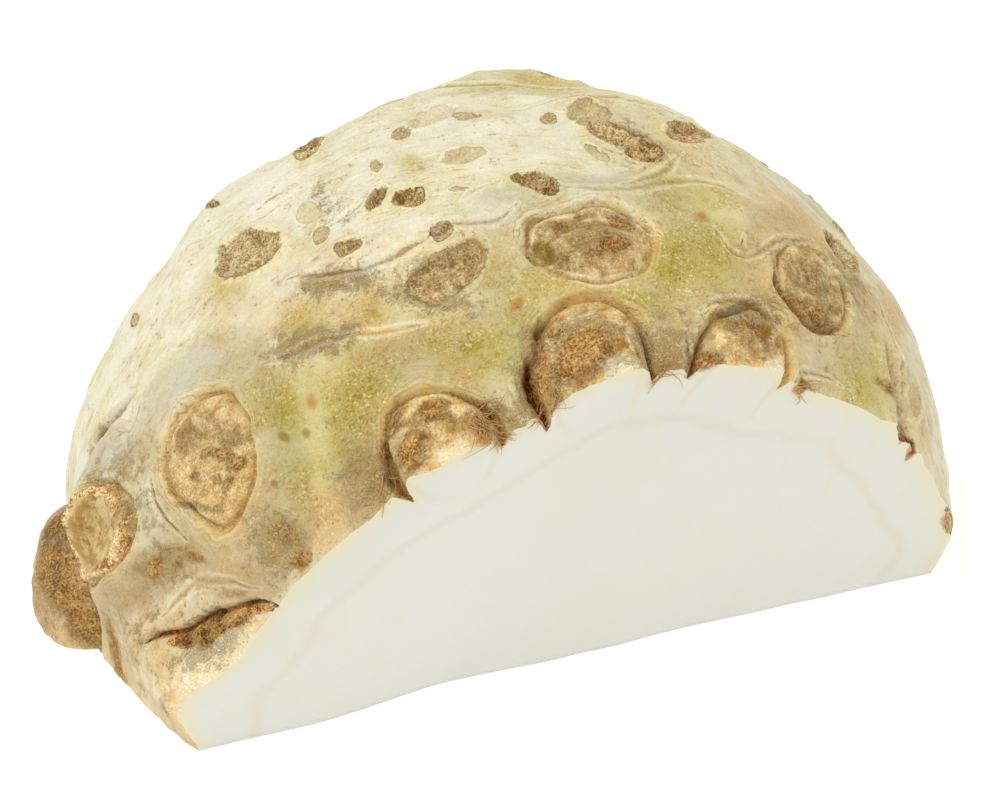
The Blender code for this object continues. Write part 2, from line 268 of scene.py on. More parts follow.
# Fine lines in the skin: how dark, depth, then places
LINES = (
    (0.8, 0.30, ((-170, 58), (-160, 62), (-149, 66), (-145, 70), (-142, 73))),
    (0.6, 0.25, ((-145, 72), (-137, 74), (-127, 75), (-117, 76), (-107, 78))),
    (0.6, 0.20, ((-178, 63), (-178, 66), (-179, 69), (177, 72))),
    (0.7, 0.25, ((159, 55), (158, 58), (157, 61), (156, 65))),
    (0.4, 0.20, ((163, 54), (162, 58), (161, 62))),
    (0.3, 0.15, ((157, 44), (157, 51))),
    (0.4, 0.15, ((136, 66), (130, 69))),
    (0.4, 0.15, ((136, 74), (124, 77))),
    (0.5, 0.20, ((86, 77), (62, 78), (50, 74), (34, 66), (22, 61))),
    (0.5, 0.20, ((-46, 76), (-24, 72), (-8, 69))),
    (0.7, 0.30, ((-104, 71), (-102, 76), (-83, 77), (-66, 76), (-55, 73), (-54, 68))),
    (0.6, 0.30, ((-105, 72), (-94, 69), (-84, 66), (-72, 66))),
    (0.3, 0.20, ((-138, 78), (-119, 84))),
    (0.4, 0.20, ((-76, 80), (-52, 76), (-30, 72), (-18, 66), (-15, 60))),
    (0.6, 0.35, ((-38, 64), (-41, 60), (-36, 58), (-31, 57), (-24, 55), (-19, 51))),
    (0.8, 0.30, ((-33, 61), (-38, 60))),
    (0.7, 0.25, ((-22, 52), (-24, 47), (-31, 44))),
    (0.7, 0.25, ((-64, 58), (-55, 57), (-50, 54), (-50, 51))),
    (1, 0.35, ((-167, 31), (-165, 29), (-160, 27), (-156, 26))),
    (0.6, 0.25, ((-178, 34), (-177, 31), (-179, 28))),
    (1, 0.35, ((162, 20), (166, 23))),
    (0.5, 0.15, ((-157, 15), (-154, 20), (-151, 23), (-147, 25.5), (-143, 26))),
    (0.5, 0.12, ((-154, 19), (-151, 22), (-148, 23.5))),
    (0.6, 0.25, ((-156, 51), (-153, 53), (-149, 56))),
    (0.5, 0.25, ((-158, 49), (-148, 55), (-138, 58), (-128, 61))),
    (0.6, 0.25, ((-14, 36), (-22, 36), (-28, 33), (-33, 31))),
    (0.7, 0.30, ((-56, 45), (-53, 46), (-48, 44), (-46, 41))),
    (0.9, 0.30, ((-71, 57), (-74, 54), (-76, 52))),
    (0.8, 0.30, ((-84, 58), (-83, 55), (-81, 52))),
    (0.6, 0.30, ((100, 60), (80, 66), (58, 68), (40, 62))),
    (0.6, 0.30, ((150, 30), (132, 40), (112, 44), (92, 46))),
    (0.6, 0.30, ((64, 40), (44, 46), (24, 42), (8, 46))),
    (0.6, 0.30, ((30, 14), (52, 16), (74, 26), (98, 26), (118, 34))),
)


def step(low, high, value):
    """0 below low and 1 above high, easing between them."""
    share = np.clip((value - low) / (high - low), 0.0, 1.0)
    return share * share * (3.0 - 2.0 * share)


def bell(value, width):
    return np.exp(-((value / width) ** 2))


def unit(points):
    return points / np.linalg.norm(points, axis=1)[:, None]


def direction(azimuth, height):
    a, h = math.radians(azimuth), math.radians(height)
    return np.array((math.cos(a) * math.cos(h), math.sin(a) * math.cos(h), math.sin(h)))


def spread(points, azimuth, height, half_length, half_width, turn):
    """How far each point is from the middle of a mark, in the mark's own half-widths."""
    out = direction(azimuth, height)
    east = direction(azimuth + 90.0, 0.0)
    north = np.cross(out, east)
    t = math.radians(turn)
    along = points @ (math.cos(t) * east + math.sin(t) * north)
    across = points @ (math.cos(t) * north - math.sin(t) * east)
    flat = np.maximum(np.hypot(along, across), TINY)
    arc = GLOBE_RADIUS * np.arccos(np.clip(points @ out, -1.0, 1.0)) / flat
    round_it = np.arctan2(across, along)
    wobble = 1.0 + WOBBLE_OVAL * np.sin(2.0 * round_it + azimuth)
    wobble += WOBBLE_THREE * np.sin(3.0 * round_it + height)
    return wobble * np.hypot(arc * along / half_length, arc * across / half_width)


def curve(places):
    """Points in millimetres along a smooth run through places on the globe."""
    ends = np.array([direction(*place) for place in places])
    padded = np.concatenate((2.0 * ends[:1] - ends[1:2], ends, 2.0 * ends[-1:] - ends[-2:-1]))
    t = np.linspace(0.0, 1.0, CURVE_STEPS + 1)[:-1, None]
    run = []
    for a, b, c, d in zip(padded, padded[1:], padded[2:], padded[3:]):
        bend = (2.0 * a - 5.0 * b + 4.0 * c - d) * t**2 + (3.0 * b - a - 3.0 * c + d) * t**3
        run.append(0.5 * (2.0 * b + (c - a) * t + bend))
    return GLOBE_RADIUS * unit(np.concatenate((*run, ends[-1:])))


def off_line(points, places):
    """Distance in millimetres from a smooth line through places, which grows faster near its ends."""
    run = curve(places)
    spots = GLOBE_RADIUS * points
    middle = run.mean(axis=0)
    far = np.linalg.norm(run - middle, axis=1).max() + FAR
    near = np.linalg.norm(spots - middle, axis=1) < far
    spots = spots[near]
    nearest = np.full(len(spots), FAR)
    for start, end in zip(run, run[1:]):
        way = end - start
        share = np.clip((spots - start) @ way / (way @ way), 0.0, 1.0)
        gap = spots - start - share[:, None] * way
        nearest = np.minimum(nearest, np.linalg.norm(gap, axis=1))
    from_end = np.min([np.linalg.norm(spots - end, axis=1) for end in (run[0], run[-1])], axis=0)
    nearest /= END_WIDTH + (1.0 - END_WIDTH) * step(0.0, FADE, from_end)
    distance = np.full(len(points), FAR)
    distance[near] = np.minimum(nearest, FAR)
    return distance


def cloud(places, size, seed):
    """Smooth random values between -1 and 1 that change over the given size."""
    table = np.random.default_rng(seed).uniform(-1.0, 1.0, (TILE, TILE, TILE))
    scaled = places / size
    low = np.floor(scaled).astype(int)
    share = scaled - low
    share = share * share * (3.0 - 2.0 * share)
    total = np.zeros(len(places))
    for corner in np.ndindex(2, 2, 2):
        weight = np.prod(np.where(np.array(corner) == 1, share, 1.0 - share), axis=1)
        x, y, z = ((low + corner) % TILE).T
        total += weight * table[x, y, z]
    return total


def crumble(places, size, seed, layers=3):
    """Clouds of halving size and height laid over each other."""
    return sum(0.5**n * cloud(places, size * 0.5**n, seed + n) for n in range(layers))


def knob_form(reach, rise, ring, collar, dish):
    rounding = 1.0 - STUB_ROUNDING * np.minimum(reach, 1.0) ** 2
    stub = rise * rounding * (1.0 - step(*STUB_EDGE, reach))
    groove = -ring * bell(reach - GROOVE_AT, GROOVE_WIDTH)
    past = reach - COLLAR_AT
    fold = collar * bell(past, np.where(past < 0.0, *COLLAR_WIDTHS))
    return stub + groove + fold - dish * bell(reach, DISH_WIDTH)


def scar_form(reach, depth, lip):
    return lip * bell(reach - LIP_AT, LIP_WIDTH) - depth * (1.0 - step(*SCAR_EDGE, reach))


def unevenness(points):
    chance = np.random.default_rng(SEED)
    total = np.zeros(len(points))
    for _ in range(UNEVEN_WAVES):
        way = chance.normal(size=3)
        way *= chance.uniform(*WAVE_RANGE) / np.linalg.norm(way)
        total += np.sin(points @ way + chance.uniform(0.0, 2.0 * math.pi))
    return UNEVEN * total / math.sqrt(UNEVEN_WAVES / 2.0)


def swelling(points):
    """Height of the globe's broad swells, without knobs, ridges or creases."""
    total = unevenness(points)
    for *place, amount in SWELLS:
        total += amount * (1.0 - step(0.1, 1.0, spread(points, *place)))
    return total + BULB_RISE * np.maximum(0.0, 1.0 - spread(points, *BULB) ** 2) ** BULB_ROUNDING


def relief(points):
    """Height of the main forms over the plain globe, for each outward direction."""
    total = swelling(points)
    for width, amount, places in RIDGES:
        total += amount * bell(off_line(points, places), width)
    for *place, rise, ring, collar, dish in KNOBS:
        total += knob_form(spread(points, *place), rise, ring, collar, dish)
    for *place, depth, lip, _tone in SCARS:
        total += scar_form(spread(points, *place), depth, lip)
    for width, depth, lip, _tone, places in CREASES:
        gap = off_line(points, places)
        total += lip * bell(gap - CREASE_LIP_AT * width, width) - depth * bell(gap, width)
    return total


def waver(points):
    """The same places, strayed a little, so that every outline drawn on them wanders."""
    places = GLOBE_RADIUS * points
    shift = [crumble(places, 7.0, seed, 3) for seed in (61, 67, 71)]
    return unit(places + WAVER * np.stack(shift, axis=1))


def growth(points):
    """Places in millimetres across and along the growth lines."""
    pole = direction(*GROWTH_POLE)
    side = direction(GROWTH_POLE[0] + 90.0, 0.0)
    up = np.cross(pole, side)
    across = GLOBE_RADIUS * np.arccos(np.clip(points @ pole, -1.0, 1.0))
    along = GLOBE_RADIUS * np.arctan2(points @ side, points @ up)
    across += GROWTH_BEND * crumble(GLOBE_RADIUS * points, GROWTH_BEND_SIZE, 81, 2)
    run = np.stack((across, GROWTH_STRETCH * along, np.zeros(len(points))), axis=1)
    for azimuth, height, half_length, half_width, turn, *_ in KNOBS:
        out = direction(azimuth, height)
        east = direction(azimuth + 90.0, 0.0)
        reach = spread(points, azimuth, height, half_length, half_width, turn)
        near = (1.0 - step(*KNOB_SPAN, reach))[:, None]
        ways = np.stack((points @ east, points @ np.cross(out, east)), axis=1)
        ways /= np.maximum(np.linalg.norm(ways, axis=1), TINY)[:, None]
        turned = GROWTH_STRETCH * GLOBE_RADIUS * GROWTH_TURN * ways + azimuth
        around = np.column_stack((half_width * reach, turned))
        run = near * around + (1.0 - near) * run
    return run


def nearest_mark(points, marks):
    """The lowest reach among marks, each given as its reach and its tone, and that mark's tone."""
    least = np.full(len(points), FAR)
    shown = np.zeros(len(points))
    for reach, tone in marks:
        shown = np.where(reach < least, tone, shown)
        least = np.minimum(least, reach)
    return least, shown


def knob_finish(points):
    """How far each point is from the nearest knob, and how strongly it wrinkles the skin round it."""
    marks = ((spread(points, *knob[:5]), RING_LEAST + RING_GAIN * knob[7]) for knob in KNOBS)
    return nearest_mark(points, marks)


def scar_finish(points):
    """How far each point is from the nearest scar or pit, and how brown that one is."""
    return nearest_mark(points, ((spread(points, *mark[:5]), mark[-1]) for mark in SCARS + PITS))


def crease_finish(points):
    """Distance to the nearest crease, in its own half-widths, and how dark that one is: its brown together
    with painted shade.
    """
    reaches = ((off_line(points, places) / width, tone) for width, _, _, tone, places in CREASES)
    return nearest_mark(points, reaches)


def line_finish(points):
    """Distance in millimetres to the nearest fine line, and how dark that one is."""
    return nearest_mark(points, ((off_line(points, places), tone) for tone, _, places in LINES))


def torn_share(points):
    """How far each point belongs to the torn, pulpy strip under the long slit."""
    return bell(off_line(points, TORN) / TORN_WIDTH, 1.0)


def crumbs(places):
    """The crumbly grain of scars and crusts, which the colours follow too, with painted shade in its
    hollows and a painted highlight on its tops.
    """
    return crumble(places, 1.2, 31, 2)


def fine_relief(points, places):
    """The finish's own relief: wrinkles, crumbled scars, lumpy stubs, lines and pits."""
    reach, wrinkled = knob_finish(points)
    total = GRAIN * crumble(growth(points), 1.5, 3, 2)
    total += ROLL * crumble(places, 3.4, 11, 3)
    rings = step(1.03, 1.1, reach) * (1.0 - step(1.2, 1.6, reach)) * wrinkled
    total += WRINKLE * rings * np.sin(52.0 * reach + 9.0 * cloud(places, 4.0, 19))
    on_stub = 1.0 - step(0.75, 1.0, reach)
    peel = spread(points, *PEELED)
    peeled = 1.0 - step(0.55, 0.8, peel)
    total += STUB_LUMPS * on_stub * (1.0 - peeled) * crumble(places, 4.2, 23, 4)
    folds = np.cos(2.0 * (points @ direction(PEELED[0] + 90.0, 0.0)) * GLOBE_RADIUS)
    total += PEELED_FOLD * peeled * folds
    even, crumbled = PEELED_RIM
    total += bell(peel - 0.92, 0.14) * (even + crumbled * crumble(places, 2.2, 29, 3))
    total += PULP * torn_share(points) * crumble(places, 1.5, 47, 3)
    scar, _brown = scar_finish(points)
    crust = SCAR_CRUST * (1.0 - step(0.75, 1.05, scar))
    crust = np.maximum(crust, ROUGH_CRUST * stain(points, ROUGH))
    crust = np.maximum(crust, BROWN_CRUST * stain(points, BROWN))
    total += crust * crumbs(places)
    crease, _dark = crease_finish(points)
    total += CREASE_CRUMBS * bell(crease, 1.0) * crumble(places, 1.8, 37, 2)
    for *place, amount in LUMPS:
        total += amount * (1.0 - step(0.2, 1.0, spread(points, *place)))
    for _tone, depth, run in LINES:
        gap = off_line(points, run)
        total += 0.4 * depth * bell(gap - LINE_LIP_AT, LINE_LIP_WIDTH)
        total -= 0.7 * depth * bell(gap, LINE_WIDTH)
    for *place, depth, lip, _tone in PITS:
        total += scar_form(spread(points, *place), depth, lip)
    return total


def crowded(points):
    """Mesh points gathered on the near side and at the knobs, where the skin needs them most."""
    moved = points + GATHER * direction(*NEAR_SIDE)
    for azimuth, height, half_length, half_width, *_ in KNOBS:
        reach = spread(points, azimuth, height, half_length, half_width, 0.0)
        moved += CROWDING * bell(reach, CROWD_REACH)[:, None] * (direction(azimuth, height) - points)
    return unit(moved)


def front_depth(across, rise):
    """How far the front cut lies in front of the globe's middle, for places in millimetres from it."""
    along = across - BULGE_SLANT * rise
    bulge = FRONT_BULGE * step(*BULGE_SPAN, along)
    return FRONT_REACH + math.tan(math.radians(FRONT_LEAN)) * rise + bulge


def read_points(mesh):
    flat = np.empty(3 * len(mesh.vertices))
    mesh.vertices.foreach_get("co", flat)
    return flat.reshape(-1, 3)


def write_points(mesh, points):
    mesh.vertices.foreach_set("co", np.ascontiguousarray(points, np.float32).ravel())
    mesh.update()


def deselect():
    bpy.ops.object.select_all(action="DESELECT")


def only(piece):
    """Selects this piece alone and makes it active."""
    deselect()
    piece.select_set(True)
    bpy.context.view_layer.objects.active = piece


def add_globe(name):
    deselect()
    bpy.ops.mesh.primitive_ico_sphere_add(subdivisions=SPHERE_STEPS, radius=1.0)
    globe = bpy.context.object
    globe.name = name
    globe.data.name = name
    points = crowded(unit(read_points(globe.data)))
    strayed = waver(points)
    height = GLOBE_RADIUS + relief(strayed) + fine_relief(strayed, GLOBE_RADIUS * points)
    write_points(globe.data, MM * (points * height[:, None] + MIDDLE))
    return globe


CUT_CELL = 1.0  # spacing of the mesh on a cut face
CUT_HALF = 72.0  # half the width of the cutting block's face
CUT_THICK = 60.0
BASE_BLOCK = 0.2  # metres along each side of the block under the half
KNIFE_WANDER = ((0.35, 16.0, 51), (0.10, 5.0, 53))  # height, size and seed of its clouds


def add_front_cutter(material):
    """A block whose back face is the wandering surface that the knife left."""
    cells = int(2 * CUT_HALF / CUT_CELL)
    deselect()
    bpy.ops.mesh.primitive_grid_add(x_subdivisions=cells, y_subdivisions=cells, size=2 * CUT_HALF)
    cutter = bpy.context.object
    cutter.name = "front_cutter"
    bpy.ops.object.mode_set(mode="EDIT")
    bpy.ops.mesh.select_all(action="SELECT")
    bpy.ops.mesh.extrude_region_move(TRANSFORM_OT_translate={"value": (0.0, 0.0, -CUT_THICK)})
    bpy.ops.object.mode_set(mode="OBJECT")
    points = read_points(cutter.data)
    across, rise, back = points.T
    flat = np.stack((across, rise, 0.0 * rise), axis=1)
    wander = sum(height * cloud(flat, size, seed) for height, size, seed in KNIFE_WANDER)
    depth = front_depth(across, rise) + np.where(back > -1.0, wander, 0.0)
    placed = np.stack((across, back - depth, rise), axis=1) + MIDDLE
    write_points(cutter.data, MM * placed)
    bpy.ops.object.mode_set(mode="EDIT")
    bpy.ops.mesh.select_all(action="SELECT")
    bpy.ops.mesh.normals_make_consistent(inside=False)
    bpy.ops.object.mode_set(mode="OBJECT")
    cutter.data.materials.append(material)
    return cutter


def add_base_cutter(material):
    """A block whose top is the level that the half lies on."""
    deselect()
    bpy.ops.mesh.primitive_cube_add(size=BASE_BLOCK, location=(0.0, 0.0, -BASE_BLOCK / 2.0))
    cutter = bpy.context.object
    cutter.name = "base_cutter"
    bpy.ops.object.transform_apply(location=True, rotation=True, scale=True)
    cutter.data.materials.append(material)
    return cutter


HAIR_SEED = 23
HAIR_THICK = 0.07  # millimetres from the hair's middle to its side
HAIR_TAPER = (1.3, 1.1, 0.9, 0.7, 0.3)  # shares of that from its root to its tip
HAIR_STRIDE = (0.4, 1.1)  # millimetres between two places of a hair
HAIR_TURN = 0.35
HEADING_SPREAD = 28.0
TUFT_STRETCH = 0.65  # length of a degree of azimuth at the tufts, as a share of one of height
# Tufts of root hairs: azimuth, height, scatter and heading in degrees, and how many
TUFTS = (
    (-115, 51, 0.7, -35, 30),
    (-112, 49.5, 0.6, -50, 24),
    (-103.5, 53, 0.9, -90, 22),
    (-80, 53.5, 0.6, -80, 10),
    (-55, 44, 0.8, -60, 8),
    (-127.5, 43, 0.8, -60, 10),
    (-38, 30, 0.8, -90, 8),
)


def hair_run(chance, azimuth, height, scatter, heading):
    """Five places in metres along one hair that creeps over the skin and lifts in its middle."""
    aside = scatter * chance.normal() / TUFT_STRETCH
    here = direction(azimuth + aside, height + scatter * chance.normal())
    east = direction(azimuth + 90.0, 0.0)
    bearing = math.radians(heading + HEADING_SPREAD * chance.normal())
    way = math.cos(bearing) * east + math.sin(bearing) * np.cross(here, east)
    turn = chance.uniform(-HAIR_TURN, HAIR_TURN)
    stride = chance.uniform(*HAIR_STRIDE) / GLOBE_RADIUS
    lifts = [-0.2, 0.15] + [chance.uniform(*span) for span in ((0.1, 0.5), (0.1, 0.6), (0.0, 0.5))]
    run = []
    for lift in lifts:
        ground = GLOBE_RADIUS + relief(waver(here[None]))[0]
        spot = here * (ground + lift)
        spot[1] = max(spot[1], -front_depth(spot[0], spot[2]) - 0.3 * abs(lift))
        run.append(MM * (spot + MIDDLE))
        way = way - here * (way @ here)
        way = way / np.linalg.norm(way) + turn * np.cross(here, way)
        here = unit((here + stride * way)[None])[0]
    return np.array(run)


def add_hairs(name, material):
    chance = np.random.default_rng(HAIR_SEED)
    low, _high = (np.array(corner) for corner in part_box(NODE))
    hairs = []
    for azimuth, height, scatter, heading, count in TUFTS:
        for _ in range(count):
            deselect()
            bpy.ops.curve.primitive_nurbs_path_add()
            hair = bpy.context.object
            run = hair_run(chance, azimuth, height, scatter, heading)
            run = np.maximum(run, low + 2.0 * MM * HAIR_THICK)
            for spot, place, thick in zip(hair.data.splines[0].points, run, HAIR_TAPER):
                spot.co = (*place, 1.0)
                spot.radius = thick
            hair.data.bevel_depth = MM * HAIR_THICK
            hair.data.bevel_resolution = 0
            hair.data.resolution_u = 3
            hair.data.use_fill_caps = True
            hairs.append(hair)
    deselect()
    for hair in hairs:
        hair.select_set(True)
    bpy.context.view_layer.objects.active = hairs[0]
    bpy.ops.object.convert(target="MESH")
    bpy.ops.object.join()
    tuft = bpy.context.object
    tuft.name = name
    tuft.data.name = name
    tuft.data.materials.append(material)
    bpy.ops.object.shade_smooth()
    return tuft


def cut_with(piece, cutter):
    only(piece)
    cut = piece.modifiers.new(cutter.name, "BOOLEAN")
    cut.operation = "DIFFERENCE"
    cut.solver = "MANIFOLD"
    cut.material_mode = "TRANSFER"
    cut.object = cutter
    bpy.ops.object.modifier_apply(modifier=cut.name)
    bpy.data.objects.remove(cutter, do_unlink=True)


def fit_box(piece):
    """Draws the mesh in until it lies inside the solid's own box."""
    points = read_points(piece.data)
    low, high = (np.array(corner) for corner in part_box(NODE))
    middle = (low + high) / 2.0
    middle[2] = low[2]
    reach_up, reach_down = points.max(axis=0) - middle, middle - points.min(axis=0)
    share = np.where(reach_up > 0, (high - middle) / np.maximum(reach_up, TINY), 1.0)
    share = np.minimum(1.0, share)
    room = np.where(middle - low > 0, (middle - low) / np.maximum(reach_down, TINY), 1.0)
    write_points(piece.data, middle + (points - middle) * np.minimum(share, room))


# Stains on the skin: azimuth, height, half-length, half-width, turn, strength
WARM = (
    (-138, 48, 24, 20, 0, 0.7), (-92, 58, 34, 20, 0, 0.8), (-52, 60, 30, 26, 0, 0.9),
    (-30, 44, 26, 26, 0, 0.9), (-128, 44, 20, 16, 0, 0.7), (-158, 22, 22, 16, 0, 0.6),
    (10, 66, 20, 16, 0, 0.6), (40, 40, 60, 30, 0, 0.6), (110, 24, 60, 20, 0, 0.5),
)
GREEN = (
    (-142, 47, 20, 12, 20, 0.75), (-105, 66, 22, 7, -10, 0.6), (-104, 63, 12, 5, 0, 0.7),
    (-48, 62, 9, 6, 0, 0.9), (-120, 58, 9, 7, 0, 0.8), (-137, 50, 10, 9, 0, 0.9),
    (-139, 42, 8, 9, 0, 0.9), (-147, 47, 10, 8, 40, 0.9), (-116, 58, 10, 5, 20, 1),
    (-60, 65, 8, 6, -30, 1), (-98, 67, 9, 4, -8, 0.8), (-135, 51, 9, 5.5, -7, 0.8),
    (-158, 56, 4.6, 3.4, 17, 1), (-143, 60, 4, 3, 10, 1), (-40, 37, 8, 5, -23, 0.9),
    (-140, 42, 8, 6, 43, 0.6), (-78, 62, 6, 3.6, -11, 0.9), (-26, 68, 8, 5, -52, 0.8),
    (-134, 80, 8, 4, 14, 0.2), (176, 51, 5, 2, 30, 0.7), (164, 77, 4, 2.6, 60, 0.6),
    (70, 66, 10, 7, 20, 0.7), (100, 50, 9, 6, 0, 0.6),
)
# Tan marks low on the left, such as (-166, 3) along the bottom edge, are painted warm shade as well as skin
# colour.
TAN = (
    (-150, 60, 26, 12, 25, 0.5), (-160, 12, 20, 14, 37, 0.85), (-152, 25, 14, 9, 20, 0.8),
    (-168, 32, 7, 10, 0, 0.5), (-155, 2, 20, 8, 0, 0.8), (180, 2, 14, 14, 0, 1.2),
    (-118, 48, 12, 9, 0, 0.6), (-96, 52, 10, 9, 0, 0.5), (-76, 56, 8, 8, 0, 0.7),
    (-56, 52, 11, 10, 0, 0.8), (-38, 52, 14, 10, -22, 0.8), (-33, 25, 14, 10, 6, 0.5),
    (-135, 37, 10, 6, 42, 0.9), (-121, 56, 8, 3.2, 8, 0.5), (-171, 30, 12, 8, 23, 0.3),
    (-8, 50, 14, 8, -35, 0.7), (-14, 52, 16, 10, -40, 0.9), (-18, 40, 12, 9, -30, 0.8),
    (-166, 3, 8, 9, 0, 1.1), (-146, 26, 8, 4, 30, 1.1), (-132, 40, 7, 5, 30, 1),
    (-148, 33, 8, 6, 0, 0.9), (-158, 13, 9, 6, 30, 0.8), (-128, 69, 10, 5, 30, 0.5),
    (4, 72, 12, 6, 20, 0.5), (-80, 72, 11, 7, -10, 0.3), (60, 20, 34, 18, 0, 0.7),
    (120, 14, 30, 14, 0, 0.8), (20, 14, 24, 14, 0, 0.7), (-14, 33, 9, 5, -30, 1),
    (-8, 38, 8, 3, -30, 0.6),
)
GREY = (
    (-138, 63, 3, 2.2, 6, 1), (-150, 64, 6, 1.8, 30, 0.5), (-162, 60, 5, 1.8, 30, 0.4),
    (-176, 48, 3.4, 1.6, 29, 0.4), (-18, 57, 5, 2.6, -31, 0.4), (-146, 24, 3.2, 1.1, 40, 1),
    (-25, 32, 5.4, 2.6, -27, 0.4), (178, 11, 4, 3, 60, 1.2), (-179, 7, 3, 3.4, 20, 1),
    (-23, 47, 4, 1.8, -30, 0.3), (70, 45, 5, 2.6, 20, 0.4), (130, 40, 4, 2.2, 60, 0.4),
)
BROWN = (
    (-158, 37, 1.6, 1, 60, 0.75), (-156, 37.6, 2.4, 0.9, 10, 0.9), (-153, 37.4, 1.6, 1.2, 30, 1),
    (-155, 35, 1.2, 0.9, 30, 0.8), (-152.5, 35, 1.2, 1.6, 30, 0.8), (-158.5, 34, 1.6, 0.8, 30, 0.6),
    (-163, 37, 1.6, 5.6, -20, 0.45), (-159, 40.5, 4.4, 1.2, 20, 0.4), (-156, 31, 5, 1, 20, 0.7),
    (-124, 46, 3, 3, 2, 1), (-123, 50.5, 3.4, 1.7, 30, 0.9), (-119, 50, 2, 1, 0, 0.6),
    (-95, 57.5, 5.6, 3.8, 30, 1), (-100, 57, 2.4, 4.4, 10, 0.7), (-129, 47, 1.2, 5.4, -10, 0.8),
    (-103, 57, 1.5, 6, 0, 1), (-103, 53, 2, 4, 0, 1), (-132, 69, 3.4, 2, 60, 1),
    (-98, 61, 3.4, 1.8, -7, 0.8), (-58, 53, 3.6, 2, -46, 0.9), (-72, 53, 2.6, 1.8, -39, 0.9),
    (-76, 70, 3.6, 2.2, 6, 0.8), (-61, 72, 3, 2, 14, 0.8), (-90, 71, 1.6, 1.2, 0, 0.7),
    (-88, 75, 6, 1.4, -10, 0.6), (-40, 50, 6, 1.8, -60, 0.8), (-30, 51, 4.6, 2.2, -24, 0.7),
    (-160, 21, 2.4, 1.6, 50, 0.8), (-157, 22.5, 3, 1.2, 20, 0.6), (-153.5, 25, 3.4, 0.9, 20, 0.8),
    (-157, 24.5, 5, 0.7, 30, 0.6), (-155, 21.5, 4, 0.7, 40, 0.5), (-141, 33, 3.4, 2.6, 21, 0.7),
    (-171, 33, 5.6, 3, 23, 0.3), (-152, 6, 4, 1.2, 70, 0.5), (-138, 31, 1.8, 1.2, 30, 1),
    (-103, 50, 3, 1.4, 60, 1), (-104, 53, 3, 1, 60, 0.8), (-112, 50, 3.4, 1, -60, 1),
    (-78, 52, 3.6, 1.2, 0, 0.8), (-55, 44, 2.6, 1.2, 30, 1), (-38, 24, 1, 4.2, 0, 1),
    (-32, 10, 2.4, 4.2, 10, 0.8), (20, 28, 4.8, 2.2, 50, 0.8), (25, 24, 2.4, 1.6, 10, 0.7),
    (48, 40, 3.4, 2, -30, 0.8), (53, 35, 2.6, 1.6, 40, 0.6), (66, 17, 5, 2, 20, 0.7),
    (71, 11, 2.8, 2.4, -40, 0.7), (87, 38, 3, 3.4, 30, 0.8), (94, 34, 2.6, 1.2, 0, 0.7),
    (113, 22, 4.6, 1.8, 60, 0.7), (119, 17, 2.4, 2.4, 0, 0.6), (36, 10, 3.4, 1.6, 30, 0.8),
    # The marks at the bulb's seam and the low left edge, (-178, 8), (-167, 4), (-175, 5) and (177, 12), are
    # painted shade there as well as brown skin.
    (-178, 8, 5, 5, 20, 1.1), (180, 4, 9, 11, 29, 0.42), (-167, 4, 3, 8, 20, 0.6),
    (-36, 34, 1.6, 4, 10, 0.7), (-175, 5, 2.2, 7, 34, 1), (177, 12, 4, 2.4, 0, 0.9),
)
PALE = (
    (-86, 55, 3.6, 5.4, 10, 0.8), (-94, 61.5, 6, 1.4, -10, 0.9), (-101, 59, 1.2, 5, -10, 0.8),
    (-62, 48, 8, 3, 0, 0.8), (-67, 54, 5, 1.4, 20, 0.8), (-116, 47.5, 2.8, 4.4, 10, 0.8),
    (-126.5, 47, 1, 5, -10, 0.8), (-120, 52.4, 5, 1, 0, 0.8), (-121, 47, 1.4, 2.6, 0, 0.7),
    (-132, 67, 2, 1.2, 30, 0.9), (-127, 69, 2.4, 0.7, 50, 0.8), (-155, 33, 5, 1.6, 10, 0.55),
    (-154, 36, 1.2, 1.6, 10, 0.7), (-79, 72, 4, 1, 20, 0.7), (-89, 72, 1.2, 3, 10, 0.6),
    (-158, 38, 3.2, 3, 0, 0.5), (-151, 9, 2.2, 5, 30, 0.8), (-158, 17, 6, 1.6, 30, 0.5),
    (-154, 50, 9, 1.4, 30, 0.6), (-138, 58, 10, 1.6, 18, 0.7), (-146, 69, 9, 1.8, 25, 0.6),
    (-70, 62, 6, 3, 0, 0.4), (-106, 60, 2, 6, 10, 0.4),
)
RUST = (
    (-107, 65, 1.5, 1.1, 40, 0.9), (-36, 66, 1.7, 1.3, -19, 0.9), (-145, 48, 1.6, 1.2, -4, 0.9),
    (-86, 57, 1.3, 1, -5, 0.9), (-55, 52, 1.8, 1.4, 0, 1), (-46, 44, 1.2, 0.9, 0, 0.9),
    (-95, 55, 3, 1.6, 30, 0.7), (-122, 44, 2.2, 1.2, 0, 0.7), (-38, 21, 0.9, 2, 0, 0.9),
    (-3, 43, 2.6, 1.4, -40, 0.9), (-169, 62, 1.6, 1.2, 0, 0.8), (-55, 43, 1.6, 0.9, 0, 0.9),
    (76, 30, 1.6, 1.2, 0, 0.8),
)
OLIVE = (
    (-147, 43, 1.2, 1, 6, 1), (-149, 45, 2.4, 0.7, -57, 0.7), (-144, 45, 1.2, 0.9, 0, 0.9),
    (-145, 38, 1, 0.8, 19, 0.8), (-98, 72, 3.4, 2.8, 41, 0.9), (-118, 49, 2.4, 1.8, -25, 0.7),
    (175, 24, 1.6, 3, 20, 1), (-143, 60, 2, 1.5, 10, 0.7), (-123, 55, 2.2, 0.8, 20, 0.5),
    (-38, 60, 2, 1, 30, 0.7),
)

# Where the skin is torn off and pale flesh shows
BARE = (
    (-146.5, 15.5, 10, 4.4, 50, 1), (-148, 8, 7, 3.4, 70, 0.8), (-116, 45.5, 4, 3, -10, 0.9),
    (-87, 54, 3.2, 5, 10, 0.9), (-62, 47.5, 8, 3, 10, 0.9),
)
BARE_REACH = 5.6  # how far behind the cut the torn edge may run

